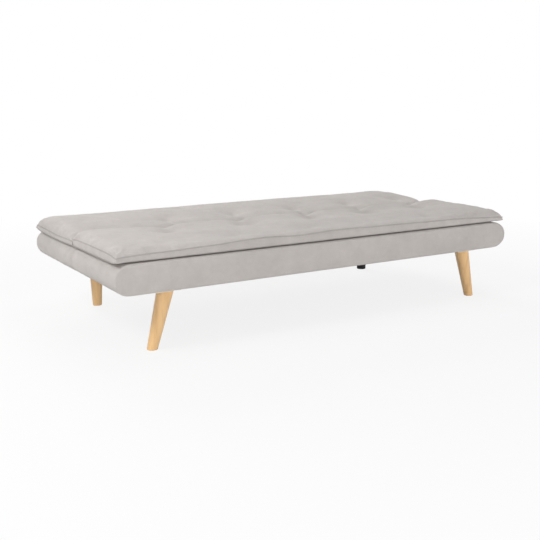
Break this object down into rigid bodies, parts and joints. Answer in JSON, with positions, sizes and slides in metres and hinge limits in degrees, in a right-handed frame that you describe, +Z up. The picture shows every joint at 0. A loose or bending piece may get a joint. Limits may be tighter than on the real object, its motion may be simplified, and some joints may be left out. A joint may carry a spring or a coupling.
{
  "type": "sofa bed",
  "caption": "Click-clack futon sofa bed lying flat: padded seat and backrest halves with a soft pillow top, ratchet hinges, and tapered wooden legs.",
  "frame": {"origin": "on the floor, under the middle of the flat bed's footprint", "axes": "+X along the length, the front of the seat faces -Y, +Z up"},
  "size_m": [1.8, 0.884, 0.38],
  "materials": {
    "cover_cloth": "plain weave",
    "foam": "open cell",
    "dust_cloth": "non-woven",
    "webbing": "woven elastic",
    "frame_timber": "sawn",
    "leg_wood": "satin lacquer",
    "zinc_steel": "zinc plated",
    "black_steel": "satin powder coat",
    "black_rubber": "matt",
    "black_plastic": "matt"
  },
  "bodies": {
    "seat": {"front_left_leg": "leg_wood", "front_leg_plates": "zinc_steel", "front_right_leg": "leg_wood", "hinge_pins": "zinc_steel", "left_seat_leaf": "zinc_steel", "left_support_tube": "black_steel", "leg_boards": "frame_timber", "leg_bolts": "zinc_steel", "pawl_pins": "zinc_steel", "plate_screws": "zinc_steel", "rear_crossbar": "black_steel", "rear_left_leg": "leg_wood", "rear_leg_plates": "black_steel", "rear_right_foot_cap": "black_rubber", "rear_right_leg": "leg_wood", "rest_buffers": "black_rubber", "right_seat_leaf": "zinc_steel", "right_support_tube": "black_steel", "seat_cover": "cover_cloth", "seat_crease_rail": "frame_timber", "seat_cross_rails": "frame_timber", "seat_dust_cover": "dust_cloth", "seat_end_rails": "frame_timber", "seat_foam": "foam", "seat_front_rail": "frame_timber", "seat_hinge_screws": "zinc_steel", "seat_topper": "cover_cloth", "seat_webbing": "webbing", "support_bolts": "zinc_steel", "support_spacers": "black_steel", "tube_plugs": "black_plastic"},
    "backrest": {"back_cover": "cover_cloth", "back_crease_rail": "frame_timber", "back_cross_rails": "frame_timber", "back_dust_cover": "dust_cloth", "back_end_rails": "frame_timber", "back_far_rail": "frame_timber", "back_foam": "foam", "back_hinge_screws": "zinc_steel", "back_topper": "cover_cloth", "back_webbing": "webbing", "left_ratchet_leaf": "zinc_steel", "right_ratchet_leaf": "zinc_steel"},
    "left_pawl": {"left_pawl": "zinc_steel"},
    "right_pawl": {"right_pawl": "zinc_steel"}
  },
  "joints": [
    {"name": "backrest_recline", "type": "hinge", "parent": "seat", "child": "backrest", "pos_m": [0, 0.003, 0.308], "axis": [1, 0, 0], "range_deg": [0, 75]},
    {"name": "left_pawl_swing", "type": "hinge", "parent": "seat", "child": "left_pawl", "pos_m": [-0.8185, -0.04982, 0.27705], "axis": [1, 0, 0], "range_deg": [0, 7]},
    {"name": "right_pawl_swing", "type": "hinge", "parent": "seat", "child": "right_pawl", "pos_m": [0.8185, -0.04982, 0.27705], "axis": [1, 0, 0], "range_deg": [0, 7]}
  ]
}
